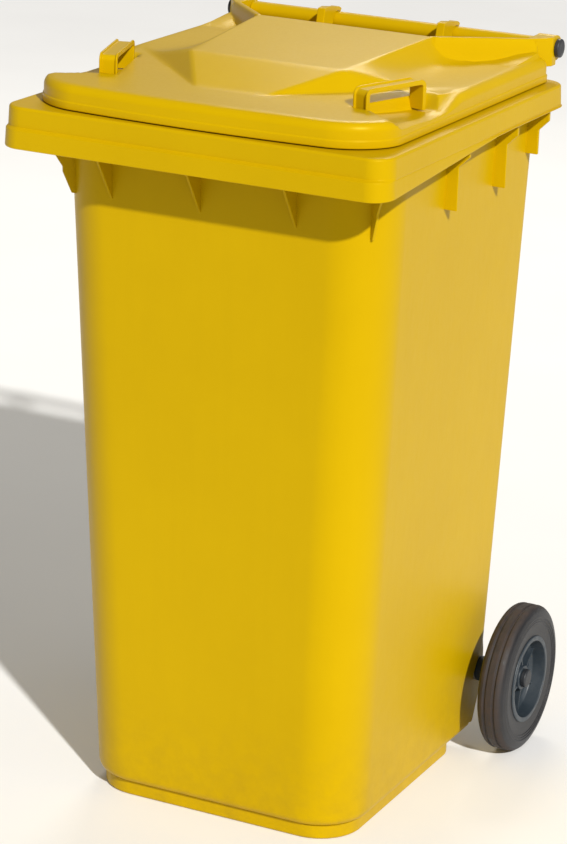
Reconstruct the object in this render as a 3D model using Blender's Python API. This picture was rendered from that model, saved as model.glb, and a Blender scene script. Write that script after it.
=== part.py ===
"""A two-wheeled refuse bin of the 120-litre class: tub, hinged lid, axle and two wheels.

Metres, +Z up. X = 0 is the middle of the bin, -Y is its front, Z = 0 is the ground, and the origin is
under the middle of the whole object. Depths are measured backwards from the front face of the rim and
turned into Y with depth(). The lid and the wheels have their origins on their own axes.
"""
import math

import bmesh
import bpy
from mathutils import Matrix, Vector
from mathutils.geometry import delaunay_2d_cdt

# ------------------------------------------------------------------ driving dimensions
TYRE_R = 0.100                     # the wheels stand on the ground with the tub's foot
AXLE_DEPTH = 0.509                 # axle behind the rim's front face
OVERALL_DEPTH = AXLE_DEPTH + TYRE_R
WALL = 0.004                       # tub wall
GAP = 0.0003                       # between pieces that touch

RIM_W, RIM_D = 0.505, 0.545        # comb, outside
RIM_TOP = 0.906
RIM_CORNER = 0.028
RIM_BAND_FRONT, RIM_BAND_REAR = 0.050, 0.029   # height of the comb's skirt
RIM_BAND_RUN = 0.33                # depth over which the skirt tapers
RIM_LEDGE_Z, RIM_LEDGE_IN = 0.8795, 0.005      # the front's upper band stands back
RIM_FLARE = 0.003                  # the skirt's sides lean out by this over its height

TUB_TOP_Z, TUB_LOW_Z = 0.902, 0.030
TUB_HALF = (0.1909, 0.2234)        # half width at TUB_LOW_Z and TUB_TOP_Z
TUB_FRONT = (0.0990, 0.0653)
TUB_REAR = (0.5320, 0.5378)
TUB_CORNER, TUB_REAR_CORNER = 0.070, 0.032
FOOT_H, FOOT_HALF, FOOT_FRONT, FOOT_REAR = 0.0185, 0.181, 0.109, 0.457
BOTTOM_ROUND = 0.013

HINGE_DEPTH, HINGE_Z = 0.555, 0.945
BAR_R, BAR_HALF = 0.0115, 0.2042   # handle bar, on the hinge's axis
PIN_R, HEAD_R = 0.007, 0.012
KNUCKLE_R, KNUCKLE_IN, KNUCKLE_OUT = 0.016, 0.2045, 0.2312

LID_HALF, LID_FRONT, LID_REAR = 0.2350, 0.0130, 0.535
LID_CORNER, LID_REAR_CORNER = 0.070, 0.022
LID_BOW = 0.25                     # the lid's front edge bows out towards the middle
LID_LOW, LID_TOP = 0.9075, 0.9380  # foot and shoulder of the skirt
LID_T = 0.0035
LID_ROUND = 0.012
LID_STEP = 0.0095                  # height of the flange round the lid's foot
NOTCH_HALF, NOTCH_DEPTH = 0.200, 0.511         # the lid stands clear of the handle bar here

AXLE_R, AXLE_HALF = 0.010, 0.2610
TYRE_W, TYRE_BORE = 0.040, 0.0560
TYRE_OUT = 0.2668                  # outer face of the tyre, from the middle of the bin
WHEEL_FACETS = 40                  # the same for tyre and hub, so that their facets run parallel

YELLOW = (0.72, 0.42, 0.004)
DARK_GREY = (0.035, 0.037, 0.042)


def depth(d):
    """Y of a point that lies d behind the front face of the rim."""
    return d - OVERALL_DEPTH / 2


def mix(a, b, t):
    return a + (b - a) * t


def ramp(value, low, high):
    """0 below low, 1 above high, and a smooth step between them."""
    t = min(1.0, max(0.0, (value - low) / (high - low)))
    return t * t * (3 - 2 * t)


def off_line(p, a, b):
    """Distance of the flat point p from the stretch a to b."""
    run = b - a
    t = min(1.0, max(0.0, (p - a).dot(run) / run.length_squared))
    return (p - a - run * t).length


def soft_max(a, b, k):
    """The larger of two heights, with a rounding about k wide where they meet."""
    h = max(k - abs(a - b), 0.0) / k
    return max(a, b) + h * h * k / 4


def soft_min(a, b, k):
    return -soft_max(-a, -b, k)


# ------------------------------------------------------------------ scene and materials
def clear_scene():
    for obj in list(bpy.data.objects):
        bpy.data.objects.remove(obj, do_unlink=True)


def material(name, colour, roughness, metallic=0.0):
    mat = bpy.data.materials.new(name)
    mat.use_nodes = True
    shader = mat.node_tree.nodes["Principled BSDF"]
    shader.inputs["Base Color"].default_value = (*colour, 1.0)
    shader.inputs["Roughness"].default_value = roughness
    shader.inputs["Metallic"].default_value = metallic
    return mat


# ------------------------------------------------------------------ mesh helpers
def finish_mesh(name, bm, mat=None, smooth=True, angle=30):
    bmesh.ops.recalc_face_normals(bm, faces=bm.faces)
    bmesh.ops.triangulate(bm, faces=bm.faces)
    mesh = bpy.data.meshes.new(name)
    bm.to_mesh(mesh)
    bm.free()
    if smooth:
        mesh.shade_smooth()
        mesh.set_sharp_from_angle(angle=math.radians(angle))
    obj = bpy.data.objects.new(name, mesh)
    bpy.context.scene.collection.objects.link(obj)
    if mat:
        mesh.materials.append(mat)
    return obj


def skin(name, rings, mat=None):
    """A closed solid through rings of equal length, with its first and last ring filled."""
    bm = bmesh.new()
    loops = [[bm.verts.new(p) for p in ring] for ring in rings]
    for low, high in zip(loops, loops[1:]):
        for k in range(len(low)):
            j = (k + 1) % len(low)
            bm.faces.new((low[k], low[j], high[j], high[k]))
    bm.faces.new(loops[0])
    bm.faces.new(loops[-1])
    return finish_mesh(name, bm, mat)


def prism(name, outline, low, high):
    """A plate across X: its outline is a list of (depth, z), and it runs from X = low to high."""
    rings = [[(x, depth(d), z) for d, z in outline] for x in (low, high)]
    return skin(name, rings)


def plate(name, outline, thickness, foot, heading):
    """A vertical plate: outline (out, z), out measured from foot (x, depth) along heading (degrees)."""
    run = Vector((math.cos(math.radians(heading)), math.sin(math.radians(heading)), 0))
    across = Vector((-run.y, run.x, 0)) * thickness / 2
    origin = Vector((foot[0], depth(foot[1]), 0))
    rings = [[origin + run * u + Vector((0, 0, z)) + across * side for u, z in outline]
             for side in (-1, 1)]
    return skin(name, rings)


def turned(name, profile, segments, mat=None, closed=False, centre=(0, 0, 0), turn=0.0):
    """A body turned about X: profile points are (x, radius). A closed profile makes a ring."""
    bm = bmesh.new()
    cx, cy, cz = centre
    columns = []
    for x, r in profile:
        if r == 0:
            columns.append([bm.verts.new((cx + x, cy, cz))])
            continue
        columns.append([bm.verts.new((cx + x, cy + r * math.cos(a), cz + r * math.sin(a)))
                        for a in (2 * math.pi * (k + turn) / segments for k in range(segments))])
    pairs = list(zip(columns, columns[1:]))
    if closed:
        pairs.append((columns[-1], columns[0]))
    for a, b in pairs:
        for k in range(segments):
            j = (k + 1) % segments
            corners = [a[k % len(a)], a[j % len(a)], b[j % len(b)], b[k % len(b)]]
            bm.faces.new(list(dict.fromkeys(corners)))
    return finish_mesh(name, bm, mat)


def boolean(target, operand, operation):
    modifier = target.modifiers.new(operand.name, "BOOLEAN")
    modifier.operation = operation
    modifier.solver = "EXACT"
    modifier.object = operand
    operand.hide_render = True
    operand.display_type = "WIRE"


def set_origin(obj, point):
    """Moves the object's origin to point and leaves its shape where it is."""
    obj.data.transform(Matrix.Translation(-Vector(point)))
    obj.location = point


def mirrored(x_side, low, high):
    """The span low..high of X on the given side of the bin, in rising order."""
    return (low, high) if x_side > 0 else (-high, -low)


# ------------------------------------------------------------------ plan rings
FRONT_RUN = (-1, -0.6, -0.2, 0.2, 0.6, 1)
SIDE_RUN = (0, 0.3, 0.65, 1)
REAR_RUN = (1, 0.33, -0.33, -1)
ARC_STEPS = 6


def plan_ring(half, front, rear, r_front, r_rear, z):
    """A rounded rectangle, seen from above anticlockwise from its front left corner."""
    points = []

    def arc(cx, cd, radius, start):
        for k in range(1, ARC_STEPS):
            a = math.radians(start + 90 * k / ARC_STEPS)
            points.append(Vector((cx + radius * math.cos(a), depth(cd) + radius * math.sin(a), z)))

    def run(fractions, place):
        points.extend(place(f) for f in fractions)

    run(FRONT_RUN, lambda f: Vector((f * (half - r_front), depth(front), z)))
    arc(half - r_front, front + r_front, r_front, -90)
    run(SIDE_RUN, lambda f: Vector((half, depth(mix(front + r_front, rear - r_rear, f)), z)))
    arc(half - r_rear, rear - r_rear, r_rear, 0)
    run(REAR_RUN, lambda f: Vector((f * (half - r_rear), depth(rear), z)))
    arc(-half + r_rear, rear - r_rear, r_rear, 90)
    run(SIDE_RUN[::-1], lambda f: Vector((-half, depth(mix(front + r_front, rear - r_rear, f)), z)))
    arc(-half + r_front, front + r_front, r_front, 180)
    return points


# ------------------------------------------------------------------ tub
def tub_ring(z, inset=0.0, grow=0.0):
    """The tub's section at height z; inset goes inwards all round."""
    t = (z - TUB_LOW_Z) / (TUB_TOP_Z - TUB_LOW_Z)
    i = inset - grow
    return plan_ring(mix(*TUB_HALF, t) - i, mix(*TUB_FRONT, t) + i, mix(*TUB_REAR, t) - i,
                     TUB_CORNER - i, TUB_REAR_CORNER - i, z)


def rim_ring(z, inset=0.0, back=0.0):
    """The comb's section at height z; back moves its front face backwards."""
    half = RIM_W / 2 - inset + RIM_FLARE * (RIM_TOP - z) / RIM_BAND_FRONT
    return plan_ring(half, inset + back, RIM_D - inset, RIM_CORNER - inset, RIM_CORNER - inset, z)


def skirt_foot(inset):
    """The ring along the lower edge of the comb's skirt, which is deepest at the front."""
    ring = rim_ring(RIM_TOP - RIM_BAND_FRONT, inset)
    for p in ring:
        back = p.y + OVERALL_DEPTH / 2
        p.z = RIM_TOP - mix(RIM_BAND_FRONT, RIM_BAND_REAR, min(1.0, max(0.0, back / RIM_BAND_RUN)))
    return ring


def tub_outside():
    """The solid outside of the tub and comb, from the foot up, round the comb and shut on top."""
    foot = (FOOT_HALF, FOOT_FRONT, FOOT_REAR, 0.058, 0.030)
    rings = [plan_ring(foot[0] - 0.002, foot[1] + 0.002, foot[2] - 0.002, foot[3], foot[4], 0.0),
             plan_ring(*foot, 0.002), plan_ring(*foot, FOOT_H)]
    for angle in (0, 30, 60, 90):
        a = math.radians(angle)
        lift = FOOT_H + 0.001 + BOTTOM_ROUND * (1 - math.cos(a))
        inset = BOTTOM_ROUND * (1 - math.sin(a)) * 0.8
        rings.append(tub_ring(lift, inset))
    rings.append(tub_ring(TUB_TOP_Z))
    back = RIM_LEDGE_IN
    rings += [rim_ring(RIM_TOP - WALL, WALL, back), rim_ring(RIM_LEDGE_Z + 0.0015, WALL, back),
              rim_ring(RIM_LEDGE_Z - 0.0015, WALL), skirt_foot(WALL), skirt_foot(0),
              rim_ring(RIM_LEDGE_Z), rim_ring(RIM_LEDGE_Z + 0.002, 0, back),
              rim_ring(RIM_TOP - 0.003, 0, back), rim_ring(RIM_TOP - 0.0009, 0.0009, back),
              rim_ring(RIM_TOP, 0.003, back)]
    return skin("bin_body", rings, material("yellow_moulding", YELLOW, 0.35))


def tub_inside():
    """The room inside the tub, which is cut out of the solid."""
    floor = (FOOT_HALF - WALL, FOOT_FRONT + WALL, FOOT_REAR - WALL, 0.050, 0.026)
    rings = [plan_ring(*floor, WALL), plan_ring(*floor, FOOT_H + WALL + 0.001)]
    for angle in (20, 90):
        a = math.radians(angle)
        lift = FOOT_H + WALL + 0.002 + BOTTOM_ROUND * (1 - math.cos(a))
        rings.append(tub_ring(lift, WALL + BOTTOM_ROUND * (1 - math.sin(a)) * 0.8))
    rings.append(tub_ring(RIM_TOP + 0.02, WALL))
    return skin("tub_inside", rings)


# the step under the back, where the axle lies: (depth, z), from the foot up
AXLE_STEP = ((0.478, 0.015), (0.487, 0.029), (0.4805, 0.060), (0.4805, 0.088), (0.487, 0.109),
             (0.500, 0.127), (0.520, 0.141), (0.575, 0.157))


def axle_step(grow):
    """The wedge cut away under the back; grow makes it larger by a wall."""
    front = [(d - grow, z + grow * min(1, k / 3)) for k, (d, z) in enumerate(AXLE_STEP)]
    low = [(front[0][0], -0.01)]
    return prism(f"axle_step_{round(grow * 1000)}", low + front + [(0.64, 0.157 + grow), (0.64, -0.01)],
                 -0.3, 0.3)


LUG = ((0.474, 0.040), (0.489, 0.026), (0.501, 0.023), (0.527, 0.080), (0.528, 0.120),
       (0.522, 0.150), (0.490, 0.128), (0.474, 0.095))
LUG_SPANS = ((0.178, 0.188), (0.055, 0.065))


def tub_ribs():
    """Everything that is moulded on to the outside of the tub."""
    ribs = []
    under = RIM_TOP - WALL + 0.001
    for k, x in enumerate((-0.137, -0.017, 0.110)):
        outline = [(0.0075, under), (0.0075, 0.889), (0.0695, 0.794), (0.075, 0.790), (0.075, under)]
        ribs.append(prism(f"front_gusset_{k}", outline, x - 0.0015, x + 0.0015))
    for side in (-1, 1):
        heading = 0 if side > 0 else 180
        for k, (d, low) in enumerate(((0.249, 0.796), (0.396, 0.795), (0.497, 0.8185))):
            outline = [(-0.006, low), (0.014, low), (0.014, 0.850), (0.0275, 0.8635), (0.0275, under),
                       (-0.006, under)]
            ribs.append(plate(f"side_rib_{k}_{side}", outline, 0.005, (side * 0.2225, d), heading))
        outline = [(-0.010, 0.788), (0.0, 0.790), (0.0112, 0.8165), (0.0115, 0.823), (0.021, 0.838),
                   (0.046, 0.868), (0.046, under), (-0.010, under)]
        ribs.append(plate(f"corner_gusset_{side}", outline, 0.003,
                          (side * 0.2025, 0.0864), -45 if side > 0 else 225))
        for k, (low, high) in enumerate(LUG_SPANS):
            ribs.append(prism(f"axle_lug_{k}_{side}", LUG, *mirrored(side, low, high)))
        for k, (low, high) in enumerate(((0.185, 0.195), (0.040, 0.050))):
            web = [(0.538, 0.862), (0.538, 0.9065), (0.5455, 0.938), (0.550, 0.946), (0.560, 0.946),
                   (0.566, 0.940), (0.562, 0.905), (0.552, 0.880), (0.5415, 0.862)]
            ribs.append(prism(f"bar_web_{k}_{side}", web, *mirrored(side, low, high)))
    hinge = (0, depth(HINGE_DEPTH), HINGE_Z)
    ribs.append(turned("handle_bar", [(-BAR_HALF, 0), (-BAR_HALF, BAR_R - 0.001), (-BAR_HALF + 0.001, BAR_R),
                                      (BAR_HALF - 0.001, BAR_R), (BAR_HALF, BAR_R - 0.001), (BAR_HALF, 0)],
                       32, centre=hinge))
    return ribs


def build_body():
    body = tub_outside()
    boolean(body, axle_step(0.0), "DIFFERENCE")
    for rib in tub_ribs():
        boolean(body, rib, "UNION")
    room = tub_inside()
    boolean(room, axle_step(WALL), "DIFFERENCE")
    boolean(body, room, "DIFFERENCE")
    bore = [(-0.2, 0), (-0.2, AXLE_R + GAP), (0.2, AXLE_R + GAP), (0.2, 0)]
    boolean(body, turned("axle_bore", bore, 32, centre=(0, depth(AXLE_DEPTH), TYRE_R)), "DIFFERENCE")
    for side in (-1, 1):
        low, high = mirrored(side, 0.160, 0.215)
        socket = [(low, 0), (low, PIN_R + GAP), (high, PIN_R + GAP), (high, 0)]
        boolean(body, turned(f"pin_socket_{side}", socket, 24, turn=0.3,
                             centre=(0, depth(HINGE_DEPTH), HINGE_Z)), "DIFFERENCE")
    return body


# ------------------------------------------------------------------ lid
DOME_FRONT = (0.198, 0.9596)       # depth and height of the dome's front upper edge
DOME_REAR = (0.411, 0.9690)
DOME_HALF = (0.104, 0.123)         # half width of the dome's top, front and rear
DOME_FOOT_FRONT, DOME_FOOT_SLOPE = 0.104, 0.24
DOME_CORNER = ((0.046, 0.104), (0.1246, 0.1854))   # the slanted foot at the front corners
DOME_CORNER_SLOPE = 0.94
RIDGE = ((0.123, 0.411, 0.9690), (0.212, 0.522, 0.9600))   # from the dome's corner to the knuckle
REAR_RISE = 0.0075                 # the lid's outer rear corners rise towards the knuckles
HANDLE_FRONT, HANDLE_REAR = (0.1680, 0.1116), (0.1978, 0.2049)
HANDLE_TOP = 0.9605
BOWL_FLOOR = 0.926
POCKET_DROP = 0.006                # the lid is lower behind the dome, between the ridges


def dome_height(x, d, t):
    """Height of the raised middle of the lid at (x, depth); t lowers every face by a wall."""
    along = (d - DOME_FRONT[0]) / (DOME_REAR[0] - DOME_FRONT[0])
    top = mix(DOME_FRONT[1], DOME_REAR[1], along) - t
    foot = LID_TOP - t
    front = foot - 0.0005 + (d - DOME_FOOT_FRONT - t) * DOME_FOOT_SLOPE
    (ax, ad), (bx, bd) = DOME_CORNER
    length = math.hypot(bx - ax, bd - ad)
    inward = ((d - ad) * (bx - ax) - (x - ax) * (bd - ad)) / length
    corner = foot + (inward - t) * DOME_CORNER_SLOPE
    crease = mix(*DOME_HALF, along) - t * 0.6
    sag = max(0.0, (0.235 - x) / (0.235 - crease))
    power = 1.8 + 8 * ramp(d, 0.20, 0.42)
    flank = foot + (mix(DOME_FRONT[1], DOME_REAR[1], along) - LID_TOP) * min(sag, 1.3) ** power
    rear = DOME_REAR[1] - t - (d - DOME_REAR[0] + t) * 1.1
    height = soft_min(soft_min(top, front, 0.0016), corner, 0.003)
    return soft_min(soft_min(height, flank, 0.0022), rear, 0.003)


def ridge_height(x, d):
    (ax, ad, az), (bx, bd, bz) = RIDGE
    run = ((x - ax) * (bx - ax) + (d - ad) * (bd - ad)) / ((bx - ax) ** 2 + (bd - ad) ** 2)
    run = min(1.0, max(0.0, run))
    off = math.hypot(x - mix(ax, bx, run), d - mix(ad, bd, run))
    return mix(az, bz, run) - max(0.0, off - 0.004) * 3.5


def bowl_share(x, d, t):
    """1 inside the finger bowl under a lid handle, 0 outside it; the bowl opens to the lid's side."""
    (fx, fd), (rx, rd) = HANDLE_FRONT, HANDLE_REAR
    inner = mix(fx, rx, (d - fd) / (rd - fd)) - 0.013 - t
    outward = ramp(x, 0.170, 0.235)
    front, rear = mix(0.106, 0.066, outward) - t, mix(0.226, 0.208, outward) + t
    share = ramp(d, front, front + mix(0.015, 0.024, outward)) * (1 - ramp(d, rear, rear + 0.022))
    return share * ramp(x, inner, inner + 0.006)


def lid_height(x, d, t=0.0):
    """The lid's upper surface, or with t its underside."""
    x = abs(x)
    (ax, ad), (bx, bd) = RIDGE[0][:2], RIDGE[1][:2]
    inward = ((d - ad) * (bx - ax) - (x - ax) * (bd - ad)) / math.hypot(bx - ax, bd - ad)
    foot = LID_TOP - 0.0006 - t - POCKET_DROP * ramp(d, 0.428, 0.445) * ramp(inward, -0.002, 0.006)
    foot += REAR_RISE * ramp(d, 0.43, 0.525) * ramp(x, 0.175, 0.205) * (1 - ramp(x, 0.218, 0.236))
    height = soft_max(foot, dome_height(x, d, t), 0.0022)
    if t == 0:
        height = soft_max(height, ridge_height(x, d), 0.003)
    floor = mix(BOWL_FLOOR, BOWL_FLOOR - 0.004, ramp(d, 0.12, 0.20)) - t
    return mix(height, floor, bowl_share(x, d, t))


def bow(x, d):
    """How far the lid's outline lies back at (x, depth), so that its front edge is bowed."""
    return LID_BOW * x * x * max(0.0, 1 - (d - LID_FRONT) / 0.1)


def lid_ring(inset, z):
    """The lid's outline at height z; inset goes inwards all round."""
    ring = plan_ring(LID_HALF - inset, LID_FRONT + inset, LID_REAR - inset,
                     LID_CORNER - inset, LID_REAR_CORNER - min(inset, 0.018), z)
    for p in ring:
        p.y += bow(p.x, p.y + OVERALL_DEPTH / 2)
    return ring


def lid_solid(name, inset, t, low, spacing, mat=None):
    """The lid's outside (t = 0) or the hollow under it: skirt rings and a surface on top."""
    rings = [lid_ring(inset, low)]
    if t == 0:
        rings += [lid_ring(inset, LID_LOW + LID_STEP - 0.001), lid_ring(inset + 0.0015, LID_LOW + LID_STEP)]
    shoulder = inset + 0.0015
    for angle in (0, 30, 60, 90):
        a = math.radians(angle)
        rings.append(lid_ring(shoulder + LID_ROUND * (1 - math.cos(a)),
                              LID_TOP - t - LID_ROUND * (1 - math.sin(a))))
    for k, ring in enumerate(rings[-4:]):
        for p in ring:
            top = lid_height(p.x, p.y + OVERALL_DEPTH / 2, t)
            p.z = top if k == 3 else min(p.z, top - 0.0015 * (3 - k))
    edge = [p.xy for p in rings[-1]]
    loop = list(range(len(edge)))
    inside, creases = surface_points(shoulder + LID_ROUND + 0.5 * spacing, spacing)
    creases = [(a + len(edge), b + len(edge)) for a, b in creases]
    points, _, faces, _, _, _ = delaunay_2d_cdt(edge + [Vector(p) for p in inside], creases, [loop], 1, 1e-6)

    bm = bmesh.new()
    loops = [[bm.verts.new(p) for p in ring] for ring in rings[:-1]]
    top = [bm.verts.new((p.x, p.y, lid_height(p.x, p.y + OVERALL_DEPTH / 2, t))) for p in points]
    loops.append(top[:len(edge)])
    for lower, upper in zip(loops, loops[1:]):
        for k in range(len(lower)):
            j = (k + 1) % len(lower)
            bm.faces.new((lower[k], lower[j], upper[j], upper[k]))
    for face in faces:
        bm.faces.new([top[k] for k in face])
    bm.faces.new(loops[0])
    return finish_mesh(name, bm, mat, angle=25)


def crease_lines():
    """The lines of the lid's surface along which it bends, as (x, depth) runs on the right-hand side."""
    (ax, ad), (bx, bd) = RIDGE[0][:2], RIDGE[1][:2]
    length = math.hypot(bx - ax, bd - ad)
    side = Vector(((bd - ad) / length, (ax - bx) / length))
    lines = [[Vector((ax, ad)) + side * off * 1.2, Vector((bx, bd)) + side * off]
             for off in (-0.0105, -0.004, 0.004, 0.0105)]
    top_front, top_rear = Vector((DOME_HALF[0], DOME_FRONT[0])), Vector((DOME_HALF[1], DOME_REAR[0]))
    foot_near, foot_far = (Vector(p) for p in DOME_CORNER)
    lines += [[Vector((0, foot_near.y)), foot_near, foot_far], [foot_near, top_front, top_rear],
              [Vector((0, top_front.y)), top_front], [Vector((0, top_rear.y)), top_rear],
              [Vector((0, top_rear.y + 0.029)), Vector((0.128, top_rear.y + 0.029))]]
    (fx, fd), (rx, rd) = HANDLE_FRONT, HANDLE_REAR
    for off in (-0.013, -0.008):
        lines.append([Vector((fx + off, fd)), Vector((rx + off, rd))])
    return lines


def surface_points(margin, spacing):
    """Points of the lid's surface inside its edge, and the edges between those that lie on a crease."""
    half, front, rear = LID_HALF - margin, LID_FRONT + margin, LID_REAR - margin

    def inside(p):
        corner_x = abs(p.x) - (LID_HALF - LID_CORNER)
        corner_d = LID_FRONT + LID_CORNER - p.y + bow(p.x, p.y)
        if corner_x > 0 and corner_d > 0 and math.hypot(corner_x, corner_d) > LID_CORNER - margin:
            return False
        return abs(p.x) < half + 1e-6 and front - 1e-6 < p.y - bow(p.x, LID_FRONT) and p.y < rear + 1e-6

    points, edges, lines = [], [], []
    for line in crease_lines():
        for sign in (-1, 1):
            lines += [[Vector((sign * p.x, p.y)) for p in pair] for pair in zip(line, line[1:])]
    for a, b in lines:
        count = max(1, round((b - a).length / spacing))
        samples = [a.lerp(b, k / count) for k in range(count + 1)]
        kept = [p for p in samples if inside(p)]
        edges += [(len(points) + k, len(points) + k + 1) for k in range(len(kept) - 1)]
        points += kept
    columns, rows = round(2 * half / spacing), round((rear - front) / spacing)
    for row in range(rows + 1):
        for column in range(columns + 1):
            p = Vector((mix(-half, half, column / columns), mix(front, rear, row / rows)))
            if inside(p) and min(off_line(p, a, b) for a, b in lines) > 0.4 * spacing:
                points.append(p)
    return [(p.x, depth(p.y)) for p in points], edges


def handle(side):
    """One D-handle: a strap with raised edges, bent like a U and standing on the lid."""
    (fx, fd), (rx, rd) = HANDLE_FRONT, HANDLE_REAR
    length = math.hypot(rx - fx, rd - fd)
    along = Vector((side * (rx - fx) / length, (rd - fd) / length, 0))
    across = Vector((-along.y, along.x, 0))
    foot = Vector((side * fx, depth(fd), 0))
    half, lip, top, low = 0.0110, 0.0024, HANDLE_TOP - 0.0024, 0.9242
    section = [(-half, lip), (-half + 0.0022, lip), (-half + 0.0028, 0), (half - 0.0028, 0),
               (half - 0.0022, lip), (half, lip), (half, -0.0035), (-half, -0.0035)]
    bend = [(0, low), (0, top - 0.006), (0.0018, top - 0.0018), (0.006, top)]
    path = [Vector(p) for p in bend] + [Vector((length - u, z)) for u, z in bend[::-1]]
    rings = []
    for k, here in enumerate(path):
        ways = [(path[j + 1] - path[j]).normalized() for j in (k - 1, k) if 0 <= j < len(path) - 1]
        way = sum(ways, Vector((0, 0))).normalized()
        out = Vector((-way.y, way.x)) / max(0.6, way.dot(ways[0]))
        rings.append([foot + along * (here.x + out.x * n) + across * v
                      + Vector((0, 0, here.y + out.y * n)) for v, n in section])
    return skin(f"handle_{side}", rings)


def arc_points(radius, start, end, steps):
    """(depth, z) points on a circle about the hinge's axis; angles from the back, upwards."""
    angles = (math.radians(mix(start, end, k / steps)) for k in range(steps + 1))
    return [(HINGE_DEPTH + radius * math.cos(a), HINGE_Z + radius * math.sin(a)) for a in angles]


def build_lid():
    lid = lid_solid("lid", 0.0, 0.0, LID_LOW, 0.015, material("yellow_lid", YELLOW, 0.30))
    hollow = lid_solid("lid_hollow", LID_T, LID_T, LID_LOW - 0.02, 0.021)
    notch = [(NOTCH_DEPTH, 0.88), (NOTCH_DEPTH, 0.99), (0.60, 0.99), (0.60, 0.88)]
    boolean(lid, prism("bar_notch", notch, -NOTCH_HALF, NOTCH_HALF), "DIFFERENCE")
    wall = [(NOTCH_DEPTH - LID_T, 0.87), (NOTCH_DEPTH - LID_T, 1.0), (0.61, 1.0), (0.61, 0.87)]
    boolean(hollow, prism("bar_notch_wall", wall, -NOTCH_HALF - LID_T, NOTCH_HALF + LID_T), "DIFFERENCE")
    boolean(lid, hollow, "DIFFERENCE")
    ear = [(KNUCKLE_IN, 0.507), (0.2150, 0.5195), (KNUCKLE_OUT, 0.5405), (KNUCKLE_OUT, 0.5530),
           (KNUCKLE_IN, 0.5530)]
    lug = [(0.5085, 0.9310), (0.517, 0.9655), (0.527, 0.9665)] + arc_points(0.0180, 100, 50, 4)
    lug += arc_points(BAR_R + 0.0008, 50, 185, 9) + [(0.5085, 0.9200)]
    bore = [(-0.25, 0), (-0.25, PIN_R + GAP), (0.25, PIN_R + GAP), (0.25, 0)]
    for side in (-1, 1):
        corners = [(side * x, depth(d)) for x, d in ear]
        rings = [[(x, y, z) for x, y in corners] for z in (0.9235, 0.9603)]
        boolean(lid, skin(f"ear_{side}", rings), "UNION")
        low, high = mirrored(side, KNUCKLE_IN, KNUCKLE_OUT)
        barrel = turned(f"knuckle_{side}", [(low, 0), (low, KNUCKLE_R), (high, KNUCKLE_R), (high, 0)], 32,
                        centre=(0, depth(HINGE_DEPTH), HINGE_Z), turn=0.5)
        boolean(lid, barrel, "UNION")
        boolean(lid, prism(f"bar_lug_{side}", lug, *mirrored(side, 0.0797, 0.0907)), "UNION")
        boolean(lid, handle(side), "UNION")
    boolean(lid, turned("knuckle_bore", bore, 24, turn=0.3,
                        centre=(0, depth(HINGE_DEPTH), HINGE_Z)), "DIFFERENCE")
    set_origin(lid, (0, depth(HINGE_DEPTH), HINGE_Z))
    return lid


# ------------------------------------------------------------------ hinge pins, axle and wheels
def build_pin(name, side, mat):
    """A pin with a round head, pushed in from the side of the bin."""
    low, head = 0.168, KNUCKLE_OUT + GAP
    profile = [(low, 0), (low, PIN_R - 0.0015), (low + 0.003, PIN_R), (head, PIN_R), (head, HEAD_R - 0.0005),
               (head + 0.0005, HEAD_R), (head + 0.0045, HEAD_R), (head + 0.006, HEAD_R - 0.0018),
               (head + 0.0065, HEAD_R - 0.005), (head + 0.0065, 0)]
    pin = turned(name, [(side * x, r) for x, r in profile], 24, mat)
    pin.location = (0, depth(HINGE_DEPTH), HINGE_Z)
    return pin


def build_axle(mat):
    profile = [(-AXLE_HALF, 0), (-AXLE_HALF, AXLE_R - 0.001), (-AXLE_HALF + 0.001, AXLE_R),
               (AXLE_HALF - 0.001, AXLE_R), (AXLE_HALF, AXLE_R - 0.001), (AXLE_HALF, 0)]
    axle = turned("axle", profile, 32, mat)
    axle.location = (0, depth(AXLE_DEPTH), TYRE_R)
    return axle


WASHER = (0.1883, 0.1908)          # from the lug to the wheel's boss
BOSS_IN, BOSS_OUT = 0.1911, 0.2560
HUB_R = 0.0557
WEB_IN, WEB_OUT = 0.2400, 0.2440
SPOKES = 6


def build_tyre(name, side, mat):
    """A solid tyre with a flat tread, two tread grooves and stepped side walls."""
    out, inner = TYRE_OUT, TYRE_OUT - TYRE_W
    mid = (out + inner) / 2
    half = [(0.0050, TYRE_R - 0.0002), (0.0060, TYRE_R - 0.0022), (0.0080, TYRE_R - 0.0022),
            (0.0090, TYRE_R), (0.0135, TYRE_R - 0.0014), (0.0175, TYRE_R - 0.0060),
            (0.0197, TYRE_R - 0.0140), (0.0200, TYRE_R - 0.0200), (0.0190, TYRE_R - 0.0220),
            (0.0178, TYRE_R - 0.0350), (0.0165, TYRE_BORE)]
    profile = [(mid + x, r) for x, r in half] + [(mid - x, r) for x, r in half[::-1]]
    tyre = turned(name, [(side * x, r) for x, r in profile], WHEEL_FACETS, mat, closed=True)
    tyre.location = (0, depth(AXLE_DEPTH), TYRE_R)
    return tyre


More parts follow.
